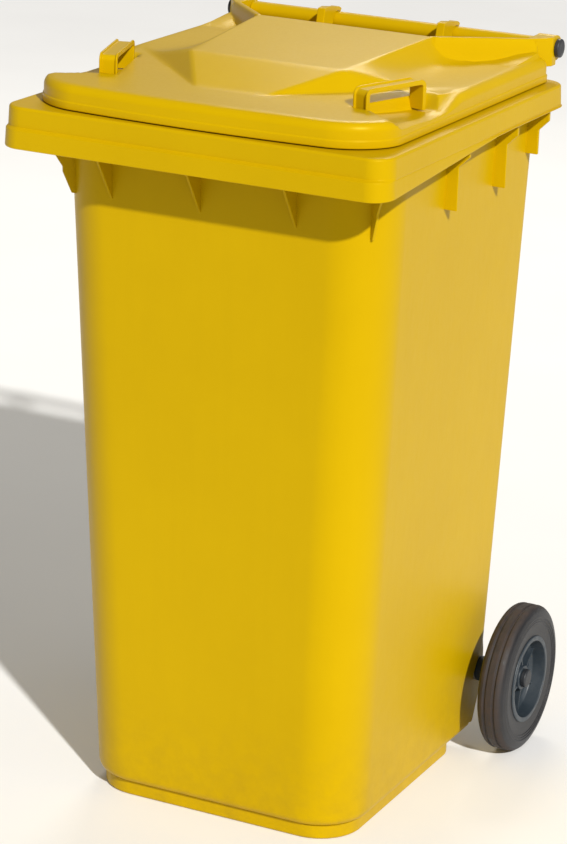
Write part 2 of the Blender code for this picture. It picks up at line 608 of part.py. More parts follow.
def build_hub(name, side, mat):
    """A wheel centre: barrel, dished web, long boss and six radial ribs."""
    bore = AXLE_R + GAP
    barrel_in = TYRE_OUT - TYRE_W + 0.0035 + GAP
    lip = TYRE_OUT - 0.0035 + GAP
    profile = [(BOSS_IN, bore), (BOSS_OUT, bore), (BOSS_OUT, 0.0165), (WEB_OUT + 0.003, 0.0180),
               (WEB_OUT, 0.0210), (WEB_OUT, 0.0460), (WEB_OUT + 0.004, 0.0500), (lip + 0.0020, 0.0525),
               (lip + 0.0024, 0.0540), (lip + 0.0022, 0.0585), (lip + 0.0012, 0.0595), (lip + 0.0006, 0.0595),
               (lip, HUB_R), (barrel_in, HUB_R), (barrel_in, 0.0515), (WEB_IN, 0.0500),
               (WEB_IN, 0.0200), (BOSS_IN, 0.0170)]
    hub = turned(name, [(side * x, r) for x, r in profile], WHEEL_FACETS, mat, closed=True)
    hub.location = (0, depth(AXLE_DEPTH), TYRE_R)
    for k in range(SPOKES):
        a = math.radians(90 + 360 * k / SPOKES)
        along = Vector((0, math.cos(a), math.sin(a)))
        across = Vector((0, -math.sin(a), math.cos(a))) * 0.0015
        centre = Vector((0, depth(AXLE_DEPTH), TYRE_R))
        outline = [(WEB_OUT - 0.002, 0.0150), (BOSS_OUT - 0.002, 0.0150), (BOSS_OUT - 0.004, 0.0300),
                   (WEB_OUT + 0.007, 0.0510), (WEB_OUT - 0.002, 0.0510)]
        rings = [[centre + along * r + across * s + Vector((side * x, 0, 0)) for x, r in outline]
                 for s in (-1, 1)]
        boolean(hub, skin(f"{name}_rib_{k}", rings), "UNION")
    return hub


def build_washer(name, side, mat):
    low, high = WASHER
    profile = [(low, AXLE_R + GAP), (high, AXLE_R + GAP), (high, 0.0165), (low, 0.0165)]
    washer = turned(name, [(side * x, r) for x, r in profile], 32, mat, closed=True)
    washer.location = (0, depth(AXLE_DEPTH), TYRE_R)
    return washer


def build_cap(name, side, mat):
    """A cup pushed over the end of the axle."""
    low, face, inner = BOSS_OUT + GAP, AXLE_HALF + GAP, AXLE_R + GAP
    profile = [(face, 0), (face, inner), (low, inner), (low, 0.0120), (low + 0.0005, 0.0125),
               (face + 0.0006, 0.0122), (face + 0.0018, 0.0105), (face + 0.0022, 0.0080), (face + 0.0022, 0)]
    cap = turned(name, [(side * x, r) for x, r in profile], 24, mat)
    cap.location = (0, depth(AXLE_DEPTH), TYRE_R)
    return cap


def main():
    clear_scene()
    build_body()
    build_lid()
    grey = material("grey_plastic", DARK_GREY, 0.40)
    hub_grey = material("hub_plastic", (0.045, 0.055, 0.065), 0.35)
    rubber = material("rubber", (0.018, 0.018, 0.020), 0.65)
    steel = material("galvanised_steel", (0.55, 0.56, 0.58), 0.35, 1.0)
    build_axle(steel)
    for side, word in ((-1, "left"), (1, "right")):
        build_pin(f"hinge_pin_{word}", side, grey)
        build_hub(f"wheel_hub_{word}", side, hub_grey)
        build_tyre(f"tyre_{word}", side, rubber)
        build_washer(f"thrust_washer_{word}", side, steel)
        build_cap(f"axle_cap_{word}", side, grey)


main()
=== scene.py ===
"""The look of a two-wheeled refuse bin: detailed tub, lid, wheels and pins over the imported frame.

Metres, +Z up, -Y the bin's front. Depths run backwards from the front face of the rim; depth() turns them
into Y. The pieces repeat the frame's own dimensions and stay inside its box.
"""
import math

import bmesh
import bpy
from mathutils import Matrix, Vector
from mathutils.geometry import delaunay_2d_cdt


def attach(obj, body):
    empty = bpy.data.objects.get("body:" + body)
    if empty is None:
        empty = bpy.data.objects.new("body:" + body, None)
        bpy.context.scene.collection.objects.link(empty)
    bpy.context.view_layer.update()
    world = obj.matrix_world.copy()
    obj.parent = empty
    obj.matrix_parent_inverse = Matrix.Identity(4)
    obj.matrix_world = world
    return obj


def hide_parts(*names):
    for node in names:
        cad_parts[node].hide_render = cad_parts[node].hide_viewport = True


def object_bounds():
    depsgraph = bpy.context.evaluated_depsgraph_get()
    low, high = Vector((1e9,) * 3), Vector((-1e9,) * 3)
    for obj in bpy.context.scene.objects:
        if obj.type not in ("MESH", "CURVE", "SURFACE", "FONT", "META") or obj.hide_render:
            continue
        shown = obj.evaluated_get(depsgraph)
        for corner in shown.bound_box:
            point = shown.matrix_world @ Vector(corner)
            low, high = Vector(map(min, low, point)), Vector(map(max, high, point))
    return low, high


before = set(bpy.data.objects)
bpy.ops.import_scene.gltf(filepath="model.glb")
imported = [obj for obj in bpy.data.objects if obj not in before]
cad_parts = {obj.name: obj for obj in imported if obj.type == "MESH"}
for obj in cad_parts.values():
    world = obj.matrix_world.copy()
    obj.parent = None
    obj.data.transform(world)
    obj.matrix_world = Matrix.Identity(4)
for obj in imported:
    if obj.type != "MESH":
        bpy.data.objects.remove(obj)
CAD_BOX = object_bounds()

# ------------------------------------------------------------------ dimensions, as in the frame
TYRE_R, AXLE_DEPTH = 0.100, 0.509
OVERALL_DEPTH = AXLE_DEPTH + TYRE_R
WALL = 0.004
RIM_W, RIM_D, RIM_TOP, RIM_CORNER = 0.505, 0.545, 0.906, 0.028
RIM_BAND_FRONT, RIM_BAND_REAR, RIM_BAND_RUN = 0.050, 0.029, 0.33
RIM_LEDGE_Z, RIM_LEDGE_IN, RIM_FLARE = 0.8795, 0.005, 0.003
TUB_TOP_Z, TUB_LOW_Z = 0.902, 0.030
TUB_HALF, TUB_FRONT, TUB_REAR = (0.1909, 0.2234), (0.0990, 0.0653), (0.5320, 0.5378)
TUB_CORNER, TUB_REAR_CORNER = 0.070, 0.032
FOOT_H, FOOT_HALF, FOOT_FRONT, FOOT_REAR, BOTTOM_ROUND = 0.0185, 0.181, 0.109, 0.457, 0.013
HINGE_DEPTH, HINGE_Z = 0.555, 0.945
BAR_R, BAR_HALF, PIN_R, HEAD_R = 0.0115, 0.2042, 0.007, 0.012
KNUCKLE_R, KNUCKLE_IN, KNUCKLE_OUT = 0.016, 0.2045, 0.2312
LID_HALF, LID_FRONT, LID_REAR, LID_CORNER, LID_REAR_CORNER = 0.2350, 0.0130, 0.535, 0.070, 0.022
LID_BOW, LID_STEP = 0.25, 0.0095
LID_LOW, LID_TOP, LID_T, LID_ROUND = 0.9075, 0.9380, 0.0035, 0.012
NOTCH_HALF, NOTCH_DEPTH = 0.200, 0.511
TYRE_W, TYRE_BORE, TYRE_OUT = 0.040, 0.0560, 0.2668
AXLE_R = 0.010
GAP = 0.0003


def depth(d):
    return d - OVERALL_DEPTH / 2


def mix(a, b, t):
    return a + (b - a) * t


def ramp(value, low, high):
    t = min(1.0, max(0.0, (value - low) / (high - low)))
    return t * t * (3 - 2 * t)


def soft_max(a, b, k):
    h = max(k - abs(a - b), 0.0) / k
    return max(a, b) + h * h * k / 4


def soft_min(a, b, k):
    return -soft_max(-a, -b, k)


def off_line(p, a, b):
    run = b - a
    t = min(1.0, max(0.0, (p - a).dot(run) / run.length_squared))
    return (p - a - run * t).length


# ------------------------------------------------------------------ materials
class Nodes:
    """A material's node tree, with short calls for the nodes used here."""

    def __init__(self, name):
        self.material = bpy.data.materials.new(name)
        self.material.use_nodes = True
        self.tree = self.material.node_tree
        self.shader = self.tree.nodes["Principled BSDF"]

    def link(self, source, target):
        self.tree.links.new(source, target)

    def add(self, kind, **values):
        node = self.tree.nodes.new(kind)
        for key, value in values.items():
            if hasattr(node, key):
                setattr(node, key, value)
            else:
                node.inputs[key.replace("_", " ")].default_value = value
        return node

    def place(self):
        return self.add("ShaderNodeTexCoord").outputs["Object"]

    def noise(self, scale, detail=3.0, roughness=0.5, stretch=(1, 1, 1)):
        mapping = self.add("ShaderNodeMapping")
        mapping.inputs["Scale"].default_value = stretch
        self.link(self.place(), mapping.inputs["Vector"])
        noise = self.add("ShaderNodeTexNoise", Scale=scale, Detail=detail, Roughness=roughness)
        self.link(mapping.outputs["Vector"], noise.inputs["Vector"])
        return noise.outputs["Fac"]

    def ramp(self, value, low, high, to_low=0.0, to_high=1.0):
        node = self.add("ShaderNodeMapRange")
        for name, number in (("From Min", low), ("From Max", high), ("To Min", to_low), ("To Max", to_high)):
            node.inputs[name].default_value = number
        self.link(value, node.inputs["Value"])
        return node.outputs["Result"]

    def math(self, operation, a, b):
        node = self.add("ShaderNodeMath", operation=operation)
        for k, value in enumerate((a, b)):
            if isinstance(value, (int, float)):
                node.inputs[k].default_value = value
            else:
                self.link(value, node.inputs[k])
        return node.outputs["Value"]

    def blend(self, factor, a, b, kind="MIX"):
        node = self.add("ShaderNodeMix", data_type="RGBA", blend_type=kind)
        for socket, value in ((node.inputs[0], factor), (node.inputs[6], a), (node.inputs[7], b)):
            if isinstance(value, (int, float)):
                socket.default_value = value
            elif isinstance(value, tuple):
                socket.default_value = (*value, 1.0)
            else:
                self.link(value, socket)
        return node.outputs[2]

    def bump(self, height, strength, distance, after=None):
        node = self.add("ShaderNodeBump", Strength=strength, Distance=distance)
        self.link(height, node.inputs["Height"])
        if after:
            self.link(after, node.inputs["Normal"])
        return node.outputs["Normal"]

    def set(self, **values):
        for key, value in values.items():
            socket = self.shader.inputs[key.replace("_", " ")]
            if isinstance(value, (int, float)):
                socket.default_value = value
            elif isinstance(value, tuple):
                socket.default_value = (*value, 1.0)
            else:
                self.link(value, socket)


def yellow_plastic(name, colour, shade, rough, grain):
    """Moulded polyethylene: fine grain, faint flow streaks, a little grime low down, scuffs that dull it."""
    n = Nodes(name)
    cloud = n.noise(3.5, 4.0, 0.6)
    streak = n.noise(60.0, 3.0, 0.6, stretch=(1.0, 1.0, 0.06))
    base = n.blend(n.ramp(cloud, 0.35, 0.70), colour, shade)
    base = n.blend(n.ramp(streak, 0.45, 0.75, 0.0, 0.07), base, tuple(0.80 * c for c in colour))
    split = n.add("ShaderNodeSeparateXYZ")
    n.link(n.place(), split.inputs[0])
    low = n.ramp(split.outputs["Z"], 0.16, 0.0)
    grime = n.math("MULTIPLY", n.math("MULTIPLY", low, 0.22), n.ramp(n.noise(38.0, 6.0, 0.7), 0.40, 0.72))
    base = n.blend(grime, base, (0.16, 0.105, 0.022))
    scuff = n.noise(170.0, 5.0, 0.75, stretch=(1.0, 1.0, 0.25))
    n.set(Base_Color=base, Roughness=n.ramp(scuff, 0.30, 0.75, rough, rough + 0.08))
    fine = n.bump(n.noise(1600.0, 2.0, 0.5), grain, 0.0004)
    n.set(Normal=n.bump(n.noise(9.0, 2.0, 0.5), 0.10, 0.004, after=fine))
    n.set(IOR=1.28, Specular_IOR_Level=0.5, Specular_Tint=(1.0, 0.80, 0.16))
    return n.material


def dark_plastic(name, colour, dusty, rough):
    n = Nodes(name)
    dust = n.ramp(n.noise(24.0, 5.0, 0.65), 0.42, 0.75)
    n.set(Base_Color=n.blend(dust, colour, dusty), Roughness=n.ramp(n.noise(90.0, 4.0), 0.3, 0.7, rough, rough + 0.15))
    n.set(Normal=n.bump(n.noise(1300.0, 2.0), 0.25, 0.0004))
    return n.material


def tyre_rubber():
    """Black rubber with dried soil on the tread and a faint bloom on the side walls."""
    n = Nodes("tyre_rubber_worn")
    split = n.add("ShaderNodeSeparateXYZ")
    n.link(n.place(), split.inputs[0])
    radius = n.math("SQRT", n.math("ADD", n.math("POWER", split.outputs["Y"], 2.0),
                                   n.math("POWER", split.outputs["Z"], 2.0)), 0.0)
    tread = n.ramp(radius, 0.0945, 0.0985)
    soil = n.math("MULTIPLY", tread, n.ramp(n.noise(55.0, 6.0, 0.7), 0.34, 0.62, 0.25, 1.0))
    bloom = n.ramp(n.noise(30.0, 5.0, 0.7), 0.40, 0.80, 0.0, 0.6)
    base = n.blend(bloom, (0.008, 0.008, 0.010), (0.020, 0.020, 0.024))
    base = n.blend(soil, base, (0.040, 0.027, 0.022))
    n.set(Base_Color=base, Roughness=n.ramp(soil, 0.0, 1.0, 0.46, 0.85))
    n.set(Normal=n.bump(n.noise(900.0, 4.0, 0.7), 0.35, 0.0006))
    return n.material


def plated_steel():
    n = Nodes("zinc_plated_steel")
    spangle = n.add("ShaderNodeTexVoronoi", Scale=420.0)
    n.link(n.place(), spangle.inputs["Vector"])
    n.set(Base_Color=n.blend(n.ramp(n.noise(60.0, 4.0), 0.35, 0.7), (0.56, 0.57, 0.58), (0.40, 0.39, 0.38)),
          Metallic=1.0, Roughness=n.ramp(spangle.outputs["Distance"], 0.0, 1.0, 0.28, 0.50))
    return n.material


# ------------------------------------------------------------------ mesh helpers
def finish(name, bm, material, body, *nodes, angle=35, slot=None, weighted=True):
    """Makes the object, shades it, and ties it to its CAD body and the nodes it stands for."""
    bmesh.ops.recalc_face_normals(bm, faces=bm.faces)
    mesh = bpy.data.meshes.new(name)
    bm.to_mesh(mesh)
    bm.free()
    mesh.shade_smooth()
    mesh.set_sharp_from_angle(angle=math.radians(angle))
    obj = bpy.data.objects.new(name, mesh)
    bpy.context.scene.collection.objects.link(obj)
    if material:
        mesh.materials.append(material)
    if weighted and body:
        modifier = obj.modifiers.new("weighted", "WEIGHTED_NORMAL")
        modifier.keep_sharp = True
        modifier.weight = 60
    if body:
        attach(obj, body)
        if nodes:
            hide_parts(*nodes)
    return obj


def skin_mesh(rings):
    bm = bmesh.new()
    loops = [[bm.verts.new(p) for p in ring] for ring in rings]
    for low, high in zip(loops, loops[1:]):
        for k in range(len(low)):
            j = (k + 1) % len(low)
            bm.faces.new((low[k], low[j], high[j], high[k]))
    bm.faces.new(loops[0])
    bm.faces.new(loops[-1])
    return bm


def soften(bm, width, segments=2, angle=30):
    """Rounds the edges that are sharper than the angle."""
    bmesh.ops.recalc_face_normals(bm, faces=bm.faces)
    sharp = [e for e in bm.edges if len(e.link_faces) == 2 and e.calc_face_angle(0) > math.radians(angle)]
    bmesh.ops.bevel(bm, geom=sharp, offset=width, segments=segments, profile=0.5, affect="EDGES",
                    clamp_overlap=True)
    return bm


def prism_mesh(outline, low, high):
    return skin_mesh([[(x, depth(d), z) for d, z in outline] for x in (low, high)])


def plate_mesh(outline, thickness, foot, heading):
    run = Vector((math.cos(math.radians(heading)), math.sin(math.radians(heading)), 0))
    across = Vector((-run.y, run.x, 0)) * thickness / 2
    origin = Vector((foot[0], depth(foot[1]), 0))
    return skin_mesh([[origin + run * u + Vector((0, 0, z)) + across * side for u, z in outline]
                      for side in (-1, 1)])


def turned_mesh(profile, segments, closed=False, centre=(0, 0, 0), turn=0.0):
    bm = bmesh.new()
    cx, cy, cz = centre
    columns = []
    for x, r in profile:
        count = 1 if r == 0 else segments
        columns.append([bm.verts.new((cx + x, cy + r * math.cos(a), cz + r * math.sin(a)))
                        for a in (2 * math.pi * (k + turn) / segments for k in range(count))])
    pairs = list(zip(columns, columns[1:])) + ([(columns[-1], columns[0])] if closed else [])
    for a, b in pairs:
        for k in range(segments):
            j = (k + 1) % segments
            corners = [a[k % len(a)], a[j % len(a)], b[j % len(b)], b[k % len(b)]]
            bm.faces.new(list(dict.fromkeys(corners)))
    return bm


def rounded(profile, radius, steps=4, closed=False):
    """The profile with its corners rounded by up to radius."""
    points = [Vector(p) for p in profile]
    result = []
    for k, p in enumerate(points):
        if not closed and k in (0, len(points) - 1):
            result.append(p)
            continue
        before, after = points[k - 1], points[(k + 1) % len(points)]
        reach = min(radius, 0.45 * (p - before).length, 0.45 * (after - p).length)
        start, end = p + (before - p).normalized() * reach, p + (after - p).normalized() * reach
        for s in range(steps + 1):
            t = s / steps
            result.append(start * (1 - t) ** 2 + p * 2 * t * (1 - t) + end * t * t)
    return [(p.x, p.y) for p in result]


def helper(name, bm):
    """An object used only by a Boolean."""
    bmesh.ops.triangulate(bm, faces=bm.faces)
    return finish(name, bm, None, None)


def cut(target, operands):
    """Applies a list of (operand, operation) to the target's mesh and removes the operands."""
    for operand, operation in operands:
        modifier = target.modifiers.new(operand.name, "BOOLEAN")
        modifier.operation, modifier.solver, modifier.object = operation, "EXACT", operand
        evaluated = target.evaluated_get(bpy.context.evaluated_depsgraph_get())
        mesh = bpy.data.meshes.new_from_object(evaluated)
        target.modifiers.clear()
        target.data = mesh
    for operand, _ in operands:
        bpy.data.objects.remove(operand, do_unlink=True)


def mirrored(side, low, high):
    return (low, high) if side > 0 else (-high, -low)


# ------------------------------------------------------------------ plan rings
ARC = 18


def plan_ring(half, front, rear, r_front, r_rear, z):
    points = []

    def arc(cx, cd, radius, start):
        for k in range(1, ARC):
            a = math.radians(start + 90 * k / ARC)
            points.append(Vector((cx + radius * math.cos(a), depth(cd) + radius * math.sin(a), z)))

    front_run = [k / 6 - 1 for k in range(13)]
    side_run = [k / 10 for k in range(11)]
    rear_run = (1, 0.5, 0, -0.5, -1)
    points += [Vector((f * (half - r_front), depth(front), z)) for f in front_run]
    arc(half - r_front, front + r_front, r_front, -90)
    points += [Vector((half, depth(mix(front + r_front, rear - r_rear, f)), z)) for f in side_run]
    arc(half - r_rear, rear - r_rear, r_rear, 0)
    points += [Vector((f * (half - r_rear), depth(rear), z)) for f in rear_run]
    arc(-half + r_rear, rear - r_rear, r_rear, 90)
    points += [Vector((-half, depth(mix(front + r_front, rear - r_rear, f)), z)) for f in side_run[::-1]]
    arc(-half + r_front, front + r_front, r_front, 180)
    return points


# ------------------------------------------------------------------ tub
def tub_ring(z, inset=0.0):
    t = (z - TUB_LOW_Z) / (TUB_TOP_Z - TUB_LOW_Z)
    return plan_ring(mix(*TUB_HALF, t) - inset, mix(*TUB_FRONT, t) + inset, mix(*TUB_REAR, t) - inset,
                     TUB_CORNER - inset, TUB_REAR_CORNER - inset, z)


def rim_ring(z, inset=0.0, back=0.0):
    half = RIM_W / 2 - inset + RIM_FLARE * (RIM_TOP - z) / RIM_BAND_FRONT
    return plan_ring(half, inset + back * RIM_LEDGE_IN, RIM_D - inset, RIM_CORNER - inset, RIM_CORNER - inset, z)


def skirt_foot(inset, lift=0.0):
    ring = rim_ring(RIM_TOP - RIM_BAND_FRONT, inset)
    for p in ring:
        back = p.y + OVERALL_DEPTH / 2
        p.z = lift + RIM_TOP - mix(RIM_BAND_FRONT, RIM_BAND_REAR, min(1.0, max(0.0, back / RIM_BAND_RUN)))
    return ring


def build_tub(material):
    foot = (FOOT_HALF, FOOT_FRONT, FOOT_REAR, 0.058, 0.030)

    def foot_ring(inset, z):
        return plan_ring(foot[0] - inset, foot[1] + inset, foot[2] - inset, foot[3], foot[4], z)

    rings = [foot_ring(0.003, 0.0), foot_ring(0.0012, 0.0004), foot_ring(0.0004, 0.0014), foot_ring(0, 0.003),
             foot_ring(0, FOOT_H - 0.001), foot_ring(-0.0006, FOOT_H)]
    for k in range(9):
        a = math.radians(90 * k / 8)
        rings.append(tub_ring(FOOT_H + 0.001 + BOTTOM_ROUND * (1 - math.cos(a)),
                              BOTTOM_ROUND * (1 - math.sin(a)) * 0.8))
    rings += [tub_ring(mix(0.034, 0.895, k / 9)) for k in range(10)]
    rings += [tub_ring(TUB_TOP_Z - 0.001), tub_ring(TUB_TOP_Z, -0.0012)]
    step, low = 0.0015, RIM_LEDGE_Z
    rings += [rim_ring(RIM_TOP - WALL, WALL + 0.002, 1), rim_ring(RIM_TOP - WALL - 0.002, WALL, 1),
              rim_ring(low + step, WALL, 1), rim_ring(low - step, WALL),
              skirt_foot(WALL, 0.0015), skirt_foot(WALL - 0.0008, 0.0002), skirt_foot(0.0012),
              skirt_foot(0.0003, 0.0005), skirt_foot(0, 0.0016),
              rim_ring(low - 0.0012), rim_ring(low - 0.0003, 0.0002, 0.05), rim_ring(low + 0.0004, 0.0004, 0.25),
              rim_ring(low + 0.0014, 0, 0.82), rim_ring(low + 0.0022, 0, 0.97), rim_ring(low + 0.0035, 0, 1),
              rim_ring(RIM_TOP - 0.0035, 0, 1)]
    for k in range(1, 6):
        a = math.radians(90 * k / 5)
        rings.append(rim_ring(RIM_TOP - 0.0035 * (1 - math.sin(a)), 0.0035 * (1 - math.cos(a)), 1))
    rings.append(rim_ring(RIM_TOP, 0.012, 1))
    bm = skin_mesh(rings)
    bmesh.ops.triangulate(bm, faces=bm.faces)
    tub = finish("tub", bm, material, None)

    def step_prism(grow):
        line = ((0.478, 0.015), (0.487, 0.029), (0.4805, 0.060), (0.4805, 0.088), (0.487, 0.109),
                (0.500, 0.127), (0.520, 0.141), (0.575, 0.157))
        front = [(d - grow, z + grow * min(1, k / 3)) for k, (d, z) in enumerate(line)]
        outline = [(front[0][0], -0.01)] + rounded(front, 0.008) + [(0.64, 0.157 + grow), (0.64, -0.01)]
        return helper("step", prism_mesh(outline, -0.3, 0.3))

    operands = [(step_prism(0.0), "DIFFERENCE")]
    for bm in tub_ribs():
        operands.append((helper("rib", bm), "UNION"))
    floor = (FOOT_HALF - WALL, FOOT_FRONT + WALL, FOOT_REAR - WALL, 0.050, 0.026)
    inside = [plan_ring(floor[0] - 0.004, floor[1] + 0.004, floor[2] - 0.004, *floor[3:], WALL),
              plan_ring(*floor, WALL + 0.004), plan_ring(*floor, FOOT_H + WALL + 0.001)]
    for angle in (20, 45, 70, 90):
        a = math.radians(angle)
        inside.append(tub_ring(FOOT_H + WALL + 0.002 + BOTTOM_ROUND * (1 - math.cos(a)),
                               WALL + BOTTOM_ROUND * (1 - math.sin(a)) * 0.8))
    inside += [tub_ring(0.895, WALL), tub_ring(0.9052, WALL - 0.0006), tub_ring(RIM_TOP + 0.004, WALL - 0.004),
               tub_ring(RIM_TOP + 0.02, WALL - 0.004)]
    room = helper("room", skin_mesh(inside))
    cut(room, [(step_prism(WALL), "DIFFERENCE")])
    operands.append((room, "DIFFERENCE"))
    bore = [(-0.2, 0), (-0.2, AXLE_R + GAP), (0.2, AXLE_R + GAP), (0.2, 0)]
    operands.append((helper("bore", turned_mesh(bore, 48, centre=(0, depth(AXLE_DEPTH), TYRE_R))), "DIFFERENCE"))
    cut(tub, operands)
    return dress(tub, material, "body", "bin_body", 32)


def dress(obj, material, body, node, angle):
    """Shading and ties for an object whose mesh came out of a Boolean."""
    obj.data.shade_smooth()
    obj.data.set_sharp_from_angle(angle=math.radians(angle))
    obj.data.materials.clear()
    obj.data.materials.append(material)
    modifier = obj.modifiers.new("weighted", "WEIGHTED_NORMAL")
    modifier.keep_sharp, modifier.weight = True, 60
    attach(obj, body)
    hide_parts(node)
    return obj


def tub_ribs():
    under = RIM_TOP - WALL + 0.001
    for x in (-0.137, -0.017, 0.110):
        outline = [(0.0075, under), (0.0075, 0.889), (0.0695, 0.794), (0.075, 0.790), (0.075, under)]
        yield soften(prism_mesh(outline, x - 0.0015, x + 0.0015), 0.0007)
    for side in (-1, 1):
        heading = 0 if side > 0 else 180
        for d, foot in ((0.249, 0.796), (0.396, 0.795), (0.497, 0.8185)):
            outline = [(-0.006, foot), (0.014, foot), (0.014, 0.850), (0.0275, 0.8635), (0.0275, under), (-0.006, under)]
            yield soften(plate_mesh(outline, 0.005, (side * 0.2225, d), heading), 0.0010)
        outline = [(-0.010, 0.788), (0.0, 0.790), (0.0112, 0.8165), (0.0115, 0.823), (0.021, 0.838),
                   (0.046, 0.868), (0.046, under), (-0.010, under)]
        yield soften(plate_mesh(outline, 0.003, (side * 0.2025, 0.0864), -45 if side > 0 else 225), 0.0007)
        lug = ((0.474, 0.040), (0.489, 0.026), (0.501, 0.023), (0.527, 0.080), (0.528, 0.120),
               (0.522, 0.150), (0.490, 0.128), (0.474, 0.095))
        for low, high in ((0.178, 0.188), (0.055, 0.065)):
            yield soften(prism_mesh(rounded(lug, 0.006, closed=True), *mirrored(side, low, high)), 0.0008)
        web = [(0.538, 0.862), (0.538, 0.9065), (0.5455, 0.938), (0.550, 0.946), (0.560, 0.946),
               (0.566, 0.940), (0.562, 0.905), (0.552, 0.880), (0.5415, 0.862)]
        for low, high in ((0.185, 0.195), (0.040, 0.050)):
            yield soften(prism_mesh(rounded(web, 0.005, closed=True), *mirrored(side, low, high)), 0.0010)
    bar = [(-BAR_HALF, 0), (-BAR_HALF, BAR_R), (BAR_HALF, BAR_R), (BAR_HALF, 0)]
    yield turned_mesh(rounded(bar, 0.0012), 64, centre=(0, depth(HINGE_DEPTH), HINGE_Z))


# ------------------------------------------------------------------ lid
DOME_FRONT, DOME_REAR, DOME_HALF = (0.198, 0.9596), (0.411, 0.9690), (0.104, 0.123)
DOME_FOOT_FRONT, DOME_FOOT_SLOPE = 0.104, 0.24
DOME_CORNER, DOME_CORNER_SLOPE = ((0.046, 0.104), (0.1246, 0.1854)), 0.94
RIDGE = ((0.123, 0.411, 0.9690), (0.212, 0.522, 0.9600))
HANDLE_FRONT, HANDLE_REAR, HANDLE_TOP = (0.1680, 0.1116), (0.1978, 0.2049), 0.9605
BOWL_FLOOR, BOWL_REACH, POCKET_DROP, REAR_RISE = 0.926, 3.5, 0.006, 0.0075


def dome_height(x, d, t):
    along = (d - DOME_FRONT[0]) / (DOME_REAR[0] - DOME_FRONT[0])
    top = mix(DOME_FRONT[1], DOME_REAR[1], along) - t
    foot = LID_TOP - t
    front = foot - 0.0005 + (d - DOME_FOOT_FRONT - t) * DOME_FOOT_SLOPE
    (ax, ad), (bx, bd) = DOME_CORNER
    inward = ((d - ad) * (bx - ax) - (x - ax) * (bd - ad)) / math.hypot(bx - ax, bd - ad)
    corner = foot + (inward - t) * DOME_CORNER_SLOPE
    crease = mix(*DOME_HALF, along) - t * 0.6
    sag = max(0.0, (0.235 - x) / (0.235 - crease))
    power = 1.8 + 8 * ramp(d, 0.20, 0.42)
    flank = foot + (mix(DOME_FRONT[1], DOME_REAR[1], along) - LID_TOP) * min(sag, 1.3) ** power
    rear = DOME_REAR[1] - t - (d - DOME_REAR[0] + t) * 1.1
    height = soft_min(soft_min(top, front, 0.0016), corner, 0.003)
    return soft_min(soft_min(height, flank, 0.0022), rear, 0.003)


def ridge_height(x, d):
    (ax, ad, az), (bx, bd, bz) = RIDGE
    run = ((x - ax) * (bx - ax) + (d - ad) * (bd - ad)) / ((bx - ax) ** 2 + (bd - ad) ** 2)
    run = min(1.0, max(0.0, run))
    off = math.hypot(x - mix(ax, bx, run), d - mix(ad, bd, run))
    return mix(az, bz, run) - max(0.0, off - 0.004) * 3.5


def bowl_share(x, d, t):
    (fx, fd), (rx, rd) = HANDLE_FRONT, HANDLE_REAR
    reach = BOWL_REACH * t
    inner = mix(fx, rx, (d - fd) / (rd - fd)) - 0.013 - reach
    outward = ramp(x, 0.170, 0.235)
    front, rear = mix(0.106, 0.066, outward) - reach, mix(0.226, 0.208, outward) + reach
    share = ramp(d, front, front + mix(0.015, 0.024, outward)) * (1 - ramp(d, rear, rear + 0.022))
    return share * ramp(x, inner, inner + 0.006)


def lid_height(x, d, t=0.0):
    x = abs(x)
    (ax, ad), (bx, bd) = RIDGE[0][:2], RIDGE[1][:2]
    inward = ((d - ad) * (bx - ax) - (x - ax) * (bd - ad)) / math.hypot(bx - ax, bd - ad)
    foot = LID_TOP - 0.0006 - t - POCKET_DROP * ramp(d, 0.428, 0.445) * ramp(inward, -0.002, 0.006)
    foot += REAR_RISE * ramp(d, 0.43, 0.525) * ramp(x, 0.175, 0.205) * (1 - ramp(x, 0.218, 0.236))
    height = soft_max(foot, dome_height(x, d, t), 0.0022)
    if t == 0:
        height = soft_max(height, ridge_height(x, d), 0.0015)
    floor = mix(BOWL_FLOOR, BOWL_FLOOR - 0.004, ramp(d, 0.12, 0.20)) - t
    return mix(height, floor, bowl_share(x, d, t))


def bow(x, d):
    return LID_BOW * x * x * max(0.0, 1 - (d - LID_FRONT) / 0.1)


def lid_ring(inset, z):
    ring = plan_ring(LID_HALF - inset, LID_FRONT + inset, LID_REAR - inset,
                     LID_CORNER - inset, LID_REAR_CORNER - min(inset, 0.018), z)
    for p in ring:
        p.y += bow(p.x, p.y + OVERALL_DEPTH / 2)
    return ring


def crease_lines(t):
    """The (start, end) pairs of the lines along which the lid's surface bends, on the right-hand side."""
    a, b = Vector(RIDGE[0][:2]), Vector(RIDGE[1][:2])
    side = Vector((b.y - a.y, a.x - b.x)).normalized()
    lines = [(a + side * off, b + side * off) for off in (-0.0112, -0.0045, 0.0045, 0.0112)]
    front, rear = Vector((DOME_HALF[0], DOME_FRONT[0])), Vector((DOME_HALF[1], DOME_REAR[0]))
    near, far = (Vector(p) for p in DOME_CORNER)
    lines += [(Vector((0, near.y)), near), (near, far), (near, front), (front, rear),
              (Vector((0, front.y)), front), (Vector((0, rear.y)), rear),
              (Vector((0, rear.y + 0.029)), Vector((0.128, rear.y + 0.029)))]
    wall = -0.013 - BOWL_REACH * t
    lines += [(Vector((HANDLE_FRONT[0] + off, HANDLE_FRONT[1])), Vector((HANDLE_REAR[0] + off, HANDLE_REAR[1])))
              for off in (wall, wall + 0.006)]
    return lines


